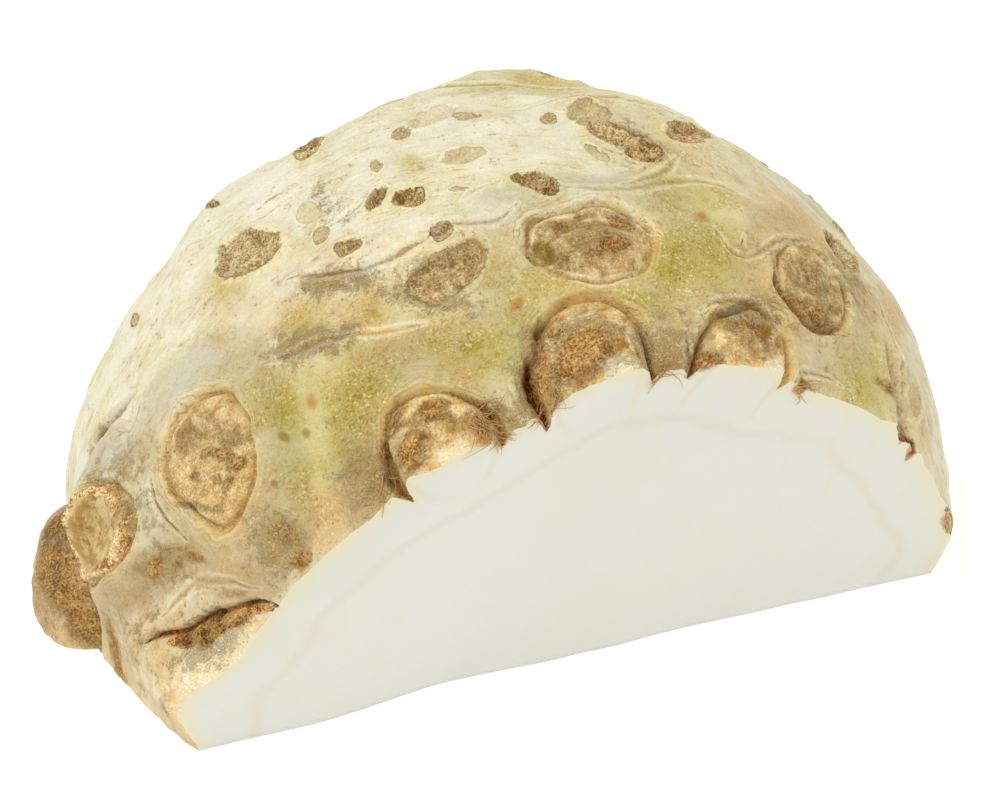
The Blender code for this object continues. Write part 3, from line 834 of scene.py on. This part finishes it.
# Scurfy, cracked skin
ROUGH = (
    (-163, 38, 6, 3, 60, 0.5), (-157, 40, 7, 2, 0, 0.45), (-174, 27, 9, 5, 40, 0.45),
    (-166, 26, 7, 5, 40, 0.4), (-158, 22, 6, 4, 30, 0.6), (-148, 17, 6, 2.6, 50, 0.8),
    (-142, 32, 5, 4, 30, 0.8), (-130, 43, 7, 5, 40, 0.7), (-152, 54, 7, 3, 30, 0.9),
    (-156, 62, 9, 2.6, 30, 0.7), (-130, 64, 8, 3, 10, 0.6), (-98, 60, 6, 3, 0, 0.8),
    (-110, 50, 5, 2.6, -40, 0.9), (-78, 55, 8, 6, 0, 0.7), (-56, 54, 7, 5, 0, 0.7),
    (-34, 50, 8, 7, 0, 0.6), (0, 74, 9, 4, 0, 0.7), (-80, 72, 8, 5, 0, 0.6),
    (177, 12, 5, 3.6, 0, 1), (-178, 8, 5, 6, 0, 0.6), (-160, 11, 12, 7, 40, 0.35),
    (-131, 68, 6, 3.6, 60, 0.6), (-104, 55, 3, 8, 0, 1), (-20, 44, 10, 6, -30, 0.5),
    (170, 66, 8, 4, 30, 0.3),
)


def stain(points, marks):
    """Soft blots: the strongest of the listed marks at each point."""
    total = np.zeros(len(points))
    for *place, strength in marks:
        total = np.maximum(total, strength * bell(spread(points, *place), 0.9))
    return total


def bare_share(points, offset):
    """How far the skin is torn off, in a ragged strip along the front cut."""
    behind = offset[:, 1] + front_depth(offset[:, 0], offset[:, 2])
    behind += 1.8 * crumble(offset, 3.0, 57, 3)
    share = stain(points, BARE)
    return share * (1.0 - step(0.7, 1.0, behind / (BARE_REACH * np.maximum(share, 0.05))))


def set_share(mesh, name, values):
    attribute = mesh.attributes.new(name, "FLOAT", "POINT")
    attribute.data.foreach_set("value", np.ascontiguousarray(values, np.float32))


def mark_skin(piece):
    """Stores where each stain, ring, scar and growth line lies, for the materials to read."""
    mesh = piece.data
    offset = read_points(mesh) / MM - MIDDLE
    points = waver(unit(offset))
    out = np.linalg.norm(offset, axis=1)
    signed = {
        "crumbs": crumbs(GLOBE_RADIUS * unit(offset)),
        "under_skin": GLOBE_RADIUS + relief(points) - out,
        "deep": GLOBE_RADIUS + swelling(points) - out,
    }
    shares = {
        "peel_reach": spread(points, *PEELED),
        "torn": torn_share(points),
        "bare": bare_share(points, offset),
    }
    shares["knob_reach"], shares["ring"] = knob_finish(points)
    shares["scar_reach"], shares["scar_tone"] = scar_finish(points)
    shares["crease_reach"], shares["crease_tone_and_shade"] = crease_finish(points)
    shares["line_reach"], shares["line_tone"] = line_finish(points)
    stains = {"warm": WARM, "green": GREEN, "tan": TAN, "grey": GREY, "brown": BROWN}
    stains |= {"rust": RUST, "olive": OLIVE, "rough": ROUGH, "pale": PALE}
    shares |= {name: stain(points, places) for name, places in stains.items()}
    for name, values in shares.items():
        set_share(mesh, name, np.minimum(values, FAR))
    for name, values in signed.items():
        set_share(mesh, name, values)
    lines = mesh.attributes.new("growth", "FLOAT_VECTOR", "POINT")
    lines.data.foreach_set("vector", np.ascontiguousarray(growth(points), np.float32).ravel())


def read_whole(items, name):
    values = np.empty(len(items), np.int32)
    items.foreach_get(name, values)
    return values


def sharpen_rim(piece):
    """Smooth shading everywhere but along the rim between skin and flesh."""
    mesh = piece.data
    faces = mesh.polygons
    faces.foreach_set("use_smooth", np.ones(len(faces), bool))
    owner = np.repeat(read_whole(faces, "material_index"), read_whole(faces, "loop_total"))
    edges = read_whole(mesh.loops, "edge_index")
    low = np.full(len(mesh.edges), len(mesh.materials))
    high = np.full(len(mesh.edges), -1)
    np.minimum.at(low, edges, owner)
    np.maximum.at(high, edges, owner)
    sharp = mesh.attributes.get("sharp_edge") or mesh.attributes.new("sharp_edge", "BOOLEAN", "EDGE")
    sharp.data.foreach_set("value", low != high)


def paint(red, green, blue):
    """A colour as it looks on a screen, 0 to 255, turned into light."""
    linear = [((value / 255.0 + 0.055) / 1.055) ** 2.4 for value in (red, green, blue)]
    return (*linear, 1.0)


class Value:
    """What a material works out at each place, ready for sums."""

    def __init__(self, recipe, socket):
        self.recipe = recipe
        self.socket = socket

    def __add__(self, other):
        return self.recipe.sum("ADD", self, other)

    def __sub__(self, other):
        return self.recipe.sum("SUBTRACT", self, other)

    def __mul__(self, other):
        return self.recipe.sum("MULTIPLY", self, other)

    def __abs__(self):
        return self.recipe.sum("ABSOLUTE", self, 0.0)

    __rmul__ = __mul__

    def fit(self, low, high, start=0.0, end=1.0):
        """Eases the value from its range low to high onto start to end."""
        node = self.recipe.add("ShaderNodeMapRange", interpolation_type="SMOOTHSTEP")
        for name, number in (("From Min", low), ("From Max", high), ("To Min", start), ("To Max", end)):
            node.inputs[name].default_value = number
        self.recipe.feed(node.inputs["Value"], self)
        return Value(self.recipe, node.outputs["Result"])


class Recipe:
    """A material's nodes, laid down one after another, and the colour they have built up so far."""

    def __init__(self, name):
        self.material = bpy.data.materials.new(name)
        self.material.use_nodes = True
        self.tree = self.material.node_tree
        self.shader = self.tree.nodes["Principled BSDF"]
        self.place = Value(self, self.add("ShaderNodeTexCoord").outputs["Object"])
        self.colour = None

    def add(self, kind, **settings):
        node = self.tree.nodes.new(kind)
        for name, value in settings.items():
            setattr(node, name, value)
        return node

    def feed(self, socket, value):
        """Links a socket to a value, or sets it to a number or to a screen colour."""
        if isinstance(value, Value):
            self.tree.links.new(value.socket, socket)
        else:
            socket.default_value = paint(*value) if isinstance(value, tuple) else value

    def finish(self, **looks):
        """Sets the shader's inputs, whose names are given with _ for a space."""
        for name, value in looks.items():
            self.feed(self.shader.inputs[name.replace("_", " ")], value)

    def mark(self, name):
        return Value(self, self.add("ShaderNodeAttribute", attribute_name=name).outputs["Fac"])

    def lines(self, name):
        return Value(self, self.add("ShaderNodeAttribute", attribute_name=name).outputs["Vector"])

    def noise(self, vector, scale, detail=3.0, rough=0.55, bend=0.0):
        node = self.add("ShaderNodeTexNoise")
        self.feed(node.inputs["Vector"], vector)
        settings = {"Scale": scale, "Detail": detail, "Roughness": rough, "Distortion": bend}
        for name, number in settings.items():
            node.inputs[name].default_value = number
        return Value(self, node.outputs["Fac"])

    def cells(self, vector, scale):
        node = self.add("ShaderNodeTexVoronoi")
        self.feed(node.inputs["Vector"], vector)
        node.inputs["Scale"].default_value = scale
        return Value(self, node.outputs["Distance"])

    def sum(self, kind, first, second):
        node = self.add("ShaderNodeMath", operation=kind)
        self.feed(node.inputs[0], first)
        self.feed(node.inputs[1], second)
        return Value(self, node.outputs[0])

    def most(self, first, second):
        return self.sum("MAXIMUM", first, second)

    def blend(self, share, first, second, kind="MIX"):
        node = self.add("ShaderNodeMix", data_type="RGBA", blend_type=kind, clamp_factor=True)
        for socket, value in (("Factor", share), (6, first), (7, second)):
            self.feed(node.inputs[socket], value)
        return Value(self, node.outputs[2])

    def lay(self, share, colour, kind="MIX"):
        """Lays a colour over what the material shows so far."""
        self.colour = self.blend(share, self.colour, colour, kind)

    def bump(self, height):
        """Turns heights in millimetres into the way the surface faces."""
        node = self.add("ShaderNodeBump")
        self.feed(node.inputs["Height"], height)
        node.inputs["Distance"].default_value = MM
        node.inputs["Strength"].default_value = 1.0
        return Value(self, node.outputs["Normal"])


def skin_material(colours):
    skin = Recipe("celeriac_skin")
    mark, noise, blend, lay, most = skin.mark, skin.noise, skin.blend, skin.lay, skin.most
    place = skin.place
    broad = noise(place, 45.0, 3.0, 0.5)
    mottle = noise(place, 150.0, 4.0, 0.6, 0.4)
    patch = noise(place, 420.0, 4.0, 0.65, 0.5)
    fibre = noise(place, 560.0, 4.0, 0.7, 1.8)
    fluff = noise(place, 1150.0, 4.0, 0.75, 1.5)
    crumb = noise(place, 1300.0, 3.0, 0.7, 0.6)
    grit = noise(place, 3000.0, 2.0, 0.7)
    strand = noise(skin.lines("growth"), 0.8, 4.0, 0.65)
    wander = patch - 0.5
    fine = 0.5 * crumb + 0.5 * grit
    rough = mark("rough")
    lump = 0.45 * mark("crumbs") + 1.1 * (fluff - 0.5) + 3.6 * (grit - 0.5)
    # Painted shade where the crumbs sink, and a painted highlight where they rise.
    sunk_shade = lump.fit(0.0, -0.55)
    raised_highlight = lump.fit(0.08, 0.65)

    def grain_shade_and_highlight(base, deep, shade_share, top, highlight_share):
        """A colour with painted shade between the crumbs and a painted highlight on top of them."""
        return blend(highlight_share * raised_highlight, blend(shade_share * sunk_shade, base, deep), top)

    # Cream skin with light strands, warm and green patches
    skin.colour = blend(mottle.fit(0.38, 0.62, 0.0, 0.7), tuple(colours.cream), (224, 217, 178))
    lay(0.6 * strand.fit(0.52, 0.70), (244, 240, 222))
    lay(mark("warm") * broad.fit(0.30, 0.60, 0.75, 1.0), (214, 200, 142))
    lay(mark("green") * mottle.fit(0.34, 0.56, 0.55, 1.0), tuple(colours.green))

    # A tan veil, partly skin colour and partly painted warm shade low on the left, and thin veins along the
    # growth lines
    veil = 0.5 * patch + 0.5 * mottle + 0.4 * strand + 0.5 * fine + 0.42 * mark("tan")
    lay(0.85 * veil.fit(0.94, 1.34), tuple(colours.tan))
    lay(abs(strand - 0.5).fit(0.016, 0.0) * mottle.fit(0.42, 0.60, 0.0, 0.6), (170, 134, 78))

    # Dark freckles and light flecks
    strewn = 0.22 * mark("warm") + 0.42 * mark("green") + 0.08
    strewn = strewn * mottle.fit(0.40, 0.60, 0.15, 1.1)
    lay(fine.fit(0.48, 0.40) * strewn, (150, 116, 40))
    lay(fine.fit(0.54, 0.61) * strewn, (246, 240, 200))

    # Scurf on the rough skin
    scurf = (0.8 * fine + 0.5 * patch + 0.34 * rough).fit(0.74, 1.00)
    lay(0.75 * scurf, grain_shade_and_highlight((216, 184, 120), (150, 100, 38), 1.0, (242, 224, 178), 1.0))

    # Golden skin with wrinkles round the knobs
    reach = mark("knob_reach")
    ring_share = mark("ring")
    glow = most(mark("brown"), 0.7 * rough)
    glow = most(glow, reach.fit(1.35, 1.02) * ring_share) + 0.8 * wander
    lay(glow.fit(0.15, 0.75, 0.0, 0.85), (218, 186, 118))
    wave = skin.sum("SINE", 60.0 * reach + 34.0 * mottle, 0.0)
    near = reach.fit(0.98, 1.05) * reach.fit(1.50, 1.10) * ring_share
    broken = noise(place, 140.0, 3.0).fit(0.42, 0.60)
    ring = wave.fit(0.45, 0.98) * near * broken
    lay(0.65 * ring, (144, 100, 38))
    lay(0.3 * wave.fit(-0.45, -0.95) * near, (240, 226, 184))

    # The knobs' caps, and the grooves round them, whose brown line is partly painted shade
    cap_colour = blend(patch.fit(0.36, 0.60), (220, 194, 142), (204, 170, 108))
    cap_colour = grain_shade_and_highlight(cap_colour, (166, 118, 54), 0.7, (240, 222, 176), 0.7)
    lay(0.85 * (reach + 0.10 * wander).fit(1.02, 0.90), cap_colour)
    # Partly painted shade: a dark brown line in the groove at each knob's foot, on top of the groove's own
    # brown.
    groove = abs(reach + 0.12 * wander - 1.02).fit(0.07, 0.012)
    groove = groove * mottle.fit(0.36, 0.58, 0.25, 1.0) * ring_share.fit(0.4, 0.9, 0.4, 1.0)
    lay(groove, blend(fine.fit(0.44, 0.56), (142, 90, 28), (210, 166, 92)))

    # Brown crusts
    brown = blend(fibre.fit(0.40, 0.58), (186, 130, 56), (220, 174, 104))
    brown = grain_shade_and_highlight(brown, (128, 74, 16), 0.85, (242, 212, 150), 0.7)
    browned = (mark("brown") + 0.6 * fluff + 0.6 * patch).fit(0.85, 1.40)
    lay(0.9 * browned, brown)

    # Scars: a gold halo, a pale lip painted as a highlight, a dark inner edge painted as shade, and crumbly
    # bark inside
    bark = blend(fibre.fit(0.40, 0.58), (188, 138, 66), (234, 202, 142))
    bark = grain_shade_and_highlight(bark, (120, 68, 12), 0.85, (255, 242, 200), 0.85)
    scar = mark("scar_reach") + 0.9 * wander + 0.35 * fine
    tone = mark("scar_tone")
    lay(0.5 * scar.fit(1.9, 1.15) * tone, (212, 192, 112))
    # Painted highlight: a pale line along the scar's raised lip.
    lay(0.5 * abs(scar - 1.38).fit(0.16, 0.04) * patch.fit(0.44, 0.56), (246, 236, 200))
    inside = scar.fit(1.27, 1.08) * tone.fit(0.0, 0.6, 0.3, 1.0)
    lay(0.92 * inside, blend(tone.fit(0.0, 0.9), (234, 216, 166), bark))
    # Painted shade: a dark line just inside the scar's rim, where its wall falls away.
    lay(0.7 * abs(scar - 1.18).fit(0.08, 0.02) * tone * broken, (136, 86, 28))

    # Pale patches, golden at their edges, whiter on their raised crumbs as a painted highlight
    paling = mark("pale") + 0.6 * fibre + 0.15 * lump
    lay(paling.fit(0.78, 0.95, 0.0, 0.6), (228, 190, 116))
    lay(paling.fit(0.92, 1.24, 0.0, 0.85), blend(raised_highlight, (244, 226, 178), (255, 246, 214)))

    # The peeled knob: a crust round its open inside
    peel = mark("peel_reach") + 0.5 * wander
    lay(0.9 * peel.fit(1.04, 0.96) * peel.fit(0.60, 0.74), bark)
    inner = blend(strand.fit(0.40, 0.60), (176, 140, 74), (210, 188, 132))
    inner = blend(patch.fit(0.50, 0.64, 0.0, 0.6), inner, (156, 110, 46))
    lay(peel.fit(0.76, 0.66), inner)

    # Fine lines with a painted highlight along their lips, and creases whose dark brown is partly painted
    # shade
    line = mark("line_reach") + 0.7 * wander
    thin = line.fit(0.34, 0.08) * mark("line_tone")
    lay(0.8 * thin, (144, 106, 48))
    # Painted highlight: a pale line along the raised lip beside each fine line.
    lay(0.4 * abs(line - 0.75).fit(0.40, 0.1), (240, 232, 204))
    # Partly painted shade: dark brown down each crease, where shade falls, on top of the crease's own
    # brown.
    crease_brown_and_shade = (mark("crease_reach") + 1.6 * wander).fit(1.3, 0.5) * mark("crease_tone_and_shade")
    lay(crease_brown_and_shade, blend(fine.fit(0.42, 0.58), (104, 54, 12), (188, 128, 56)))

    # Torn pulp under the slit, darker in its hollows as painted shade and lighter on its lumps as a painted
    # highlight, and bare flesh with golden edges, whiter on its raised crumbs as a painted highlight
    pulped = (mark("torn") + 1.1 * fibre + 0.5 * fine).fit(1.12, 1.40)
    lay(0.95 * pulped, blend(lump.fit(-0.45, 0.35), (116, 62, 16), (212, 164, 92)))
    baring = mark("bare") + 0.6 * fibre + 0.4 * wander
    lay(baring.fit(0.50, 0.70, 0.0, 0.8), (226, 188, 118))
    lay(baring.fit(0.64, 1.00, 0.0, 0.9), blend(raised_highlight, (236, 220, 178), (246, 238, 210)))

    # Smudges, rust, moss, pores and grit
    dirty = (mark("grey") + 0.8 * strand + 0.7 * fluff).fit(1.15, 1.80)
    lay(0.65 * dirty * lump.fit(0.35, -0.35, 0.35, 1.0), (126, 98, 52))
    lay(0.8 * (mark("rust") + 0.5 * patch + 0.5 * fine).fit(0.85, 1.35), (186, 128, 44))
    lay(0.75 * (mark("olive") + 0.4 * patch + 0.3 * fine).fit(0.75, 1.15), (152, 130, 46))
    pitted = noise(place, 260.0, 2.0).fit(0.50, 0.62, 0.0, 0.6)
    lay(skin.cells(place, 620.0).fit(0.16, 0.08) * pitted, (150, 110, 54))
    lay(1.0, grit.fit(0.30, 0.70, 0.94, 1.05), "MULTIPLY")

    crusts = most(most(inside, browned), scurf)
    height = grit * (0.22 * crusts + 0.05) + 0.10 * crumb
    height = height + fluff * (0.55 * crusts) + fibre * (0.30 * crusts)
    height = height + 0.14 * strand + 0.24 * patch
    height = height - 0.10 * ring - 0.10 * thin - 0.20 * groove
    skin.finish(
        Base_Color=skin.colour,
        Roughness=crusts.fit(0.0, 1.0, 0.50, 0.85),
        Specular_IOR_Level=0.22,
        Subsurface_Weight=crusts.fit(0.0, 1.0, 0.25, 0.03),
        Subsurface_Scale=1.0,
        Normal=skin.bump(height),
    )
    skin.shader.inputs["Subsurface Radius"].default_value = (0.003, 0.002, 0.001)
    return skin.material


def flesh_material(colours):
    flesh = Recipe("celeriac_flesh")
    mark, noise, blend, lay = flesh.mark, flesh.noise, flesh.blend, flesh.lay
    place = flesh.place
    depth = mark("under_skin")
    cloudy = noise(place, 45.0, 4.0, 0.6)
    crumb = noise(place, 1100.0, 3.0, 0.7, 0.6)
    flesh.colour = blend(cloudy.fit(0.35, 0.7, 0.0, 0.6), tuple(colours.flesh), (225, 223, 210))
    streak = noise(flesh.lines("growth"), 0.9, 3.0, 0.6)
    lay(streak.fit(0.52, 0.66, 0.0, 0.25), (226, 220, 198))

    # The yellow edge, the faint ring under the skin and loops round the knobs
    lay(0.6 * depth.fit(3.0, 0.2), (228, 220, 176))
    bent = mark("deep") + 7.0 * noise(place, 70.0, 3.0)
    lay(0.22 * bent.fit(9.4, 10.6) * bent.fit(11.8, 10.6), (214, 200, 166))
    reach = mark("knob_reach") + 0.5 * noise(place, 110.0, 2.0)
    loop = reach.fit(1.00, 1.08) * reach.fit(1.20, 1.08) * depth.fit(8.0, 3.0)
    lay(0.25 * loop, (214, 202, 150))

    # Brown crumbs torn into the edge by the knobs
    torn = (depth.fit(2.2, 0.4) * mark("brown") + 0.8 * crumb).fit(0.72, 1.05)
    lay(torn, blend(crumb.fit(0.4, 0.6), (120, 74, 34), (204, 160, 100)))
    flesh.finish(
        Base_Color=flesh.colour,
        Roughness=0.42,
        Specular_IOR_Level=0.4,
        Subsurface_Weight=0.25,
        Subsurface_Scale=1.0,
        Normal=flesh.bump(0.03 * noise(place, 900.0, 3.0, 0.6) + 0.4 * cloudy),
    )
    flesh.shader.inputs["Subsurface Radius"].default_value = (0.004, 0.0035, 0.0025)
    return flesh.material


def hair_material():
    hair = Recipe("root_hair")
    shade = hair.noise(hair.place, 500.0, 2.0)
    hair.finish(Base_Color=hair.blend(shade, (146, 98, 40), (222, 182, 114)), Roughness=0.7)
    return hair.material


class CeleriacColours(bpy.types.PropertyGroup):
    """Colours of the root, as they look on a screen."""

    cream: bpy.props.IntVectorProperty(
        name="Cream", description="Palest skin", default=(231, 227, 207), min=0, max=255
    )
    # Tan is partly painted shade low on the left, as well as the skin's own colour.
    tan: bpy.props.IntVectorProperty(
        name="Tan", description="Darker skin, low and at the right", default=(212, 180, 126), min=0, max=255
    )
    green: bpy.props.IntVectorProperty(
        name="Green", description="Yellow-green patches", default=(182, 164, 52), min=0, max=255
    )
    flesh: bpy.props.IntVectorProperty(
        name="Flesh", description="Cut flesh", default=(224, 224, 216), min=0, max=255
    )


class StageSettings(bpy.types.PropertyGroup):
    """Camera and light."""

    lens: bpy.props.FloatProperty(
        name="Lens", description="Focal length", default=100.0, min=20.0, unit="CAMERA"
    )
    distance: bpy.props.FloatProperty(
        name="Distance", description="Camera to the globe's middle", default=0.3821, min=0.1, unit="LENGTH"
    )
    azimuth: bpy.props.FloatProperty(
        name="Azimuth", description="Camera's turn", default=math.radians(-18.6), unit="ROTATION"
    )
    elevation: bpy.props.FloatProperty(
        name="Elevation", description="Camera's height", default=math.radians(39.4), unit="ROTATION"
    )


class CELERIAC_OT_root(bpy.types.Operator):
    """Grow the globe, cut it twice and dress its skin and flesh"""

    bl_idname = "celeriac.root"
    bl_label = "Celeriac Root"

    def execute(self, context):
        colours = context.scene.celeriac_colours
        skin, flesh = skin_material(colours), flesh_material(colours)
        root = add_globe("root_half")
        root.data.materials.append(skin)
        cut_with(root, add_base_cutter(flesh))
        cut_with(root, add_front_cutter(flesh))
        fit_box(root)
        sharpen_rim(root)
        mark_skin(root)
        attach(root, "root")
        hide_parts(NODE)
        return {"FINISHED"}


def aim(thing, target):
    thing.rotation_euler = (thing.location - target).to_track_quat("Z", "Y").to_euler()


# Lamps: name, place, size and power
LAMPS = (
    ("key", (-0.48, 0.02, 1.05), 0.6, 6.8),
    ("fill", (0.62, -0.62, 0.75), 0.8, 2.8),
    ("side", (-0.9, -0.7, 0.45), 0.8, 1.0),
)
DAYLIGHT = (1.0, 0.965, 0.89, 1.0)
DAYLIGHT_STRENGTH = 0.53
AIM_UP = 0.0164  # the camera looks this far above the globe's middle
AIM_LEFT = 0.0017  # and this far to its left


def add_lamp(name, place, size, power, target):
    lamp = bpy.data.lights.new(name, "AREA")
    lamp.shape = "DISK"
    lamp.size = size
    lamp.energy = power
    holder = bpy.data.objects.new(name, lamp)
    bpy.context.scene.collection.objects.link(holder)
    holder.location = place
    aim(holder, target)


def floor_material():
    floor = Recipe("floor_white")
    floor.shader.inputs["Base Color"].default_value = (0.46, 0.46, 0.46, 1.0)
    floor.shader.inputs["Emission Color"].default_value = (1.0, 1.0, 1.0, 1.0)
    floor.finish(Emission_Strength=0.67, Roughness=0.8, Specular_IOR_Level=0.1)
    return floor.material


class CELERIAC_OT_hairs(bpy.types.Operator):
    """Leave tufts of fine brown root hairs in the grooves by the cut"""

    bl_idname = "celeriac.hairs"
    bl_label = "Root Hairs"

    def execute(self, context):
        hairs = add_hairs("root_hairs", hair_material())
        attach(hairs, "root")
        return {"FINISHED"}


class CELERIAC_OT_stage(bpy.types.Operator):
    """Put down the pale floor, the soft lights and the camera"""

    bl_idname = "celeriac.stage"
    bl_label = "Studio Stage"

    def execute(self, context):
        scene = context.scene
        settings = scene.celeriac_stage
        middle = Vector(MM * MIDDLE)
        deselect()
        bpy.ops.mesh.primitive_plane_add(size=6.0, location=(0.0, 0.0, -0.0002))
        floor = context.object
        floor.name = "floor"
        bpy.ops.object.transform_apply(location=True, rotation=True, scale=True)
        floor.data.materials.append(floor_material())

        world = bpy.data.worlds.new("studio")
        world.use_nodes = True
        sky = world.node_tree.nodes["Background"].inputs
        sky["Color"].default_value = DAYLIGHT
        sky["Strength"].default_value = DAYLIGHT_STRENGTH
        scene.world = world
        for lamp in LAMPS:
            add_lamp(*lamp, middle)

        lens = bpy.data.cameras.new("view")
        lens.lens = settings.lens
        lens.sensor_width = 36.0
        lens.clip_start = 0.01
        camera = bpy.data.objects.new("view", lens)
        scene.collection.objects.link(camera)
        a, e = settings.azimuth, settings.elevation
        back = Vector((math.sin(a) * math.cos(e), -math.cos(a) * math.cos(e), math.sin(e)))
        right = Vector((math.cos(a), math.sin(a), 0.0))
        up = back.cross(right)
        camera.location = middle + settings.distance * back
        aim(camera, middle + AIM_UP * up - AIM_LEFT * right)
        scene.camera = camera
        scene.view_settings.view_transform = "Standard"
        return {"FINISHED"}


class CELERIAC_PT_panel(bpy.types.Panel):
    """Lists the makers of the root and its stage"""

    bl_idname = "CELERIAC_PT_panel"
    bl_label = "Celeriac"
    bl_space_type = "VIEW_3D"
    bl_region_type = "UI"
    bl_category = "Celeriac"

    def draw(self, context):
        layout = self.layout
        for name in ("cream", "tan", "green", "flesh"):
            layout.prop(context.scene.celeriac_colours, name)
        layout.operator("celeriac.root")
        layout.operator("celeriac.hairs")
        for name in ("lens", "distance", "azimuth", "elevation"):
            layout.prop(context.scene.celeriac_stage, name)
        layout.operator("celeriac.stage")


CLASSES = (
    CeleriacColours,
    StageSettings,
    CELERIAC_OT_root,
    CELERIAC_OT_hairs,
    CELERIAC_OT_stage,
    CELERIAC_PT_panel,
)


def register():
    for kind in CLASSES:
        bpy.utils.register_class(kind)
    bpy.types.Scene.celeriac_colours = bpy.props.PointerProperty(type=CeleriacColours)
    bpy.types.Scene.celeriac_stage = bpy.props.PointerProperty(type=StageSettings)


def unregister():
    del bpy.types.Scene.celeriac_stage
    del bpy.types.Scene.celeriac_colours
    for kind in reversed(CLASSES):
        bpy.utils.unregister_class(kind)


def main():
    register()
    bpy.ops.celeriac.root()
    bpy.ops.celeriac.hairs()
    bpy.ops.celeriac.stage()


if __name__ == "__main__":
    main()
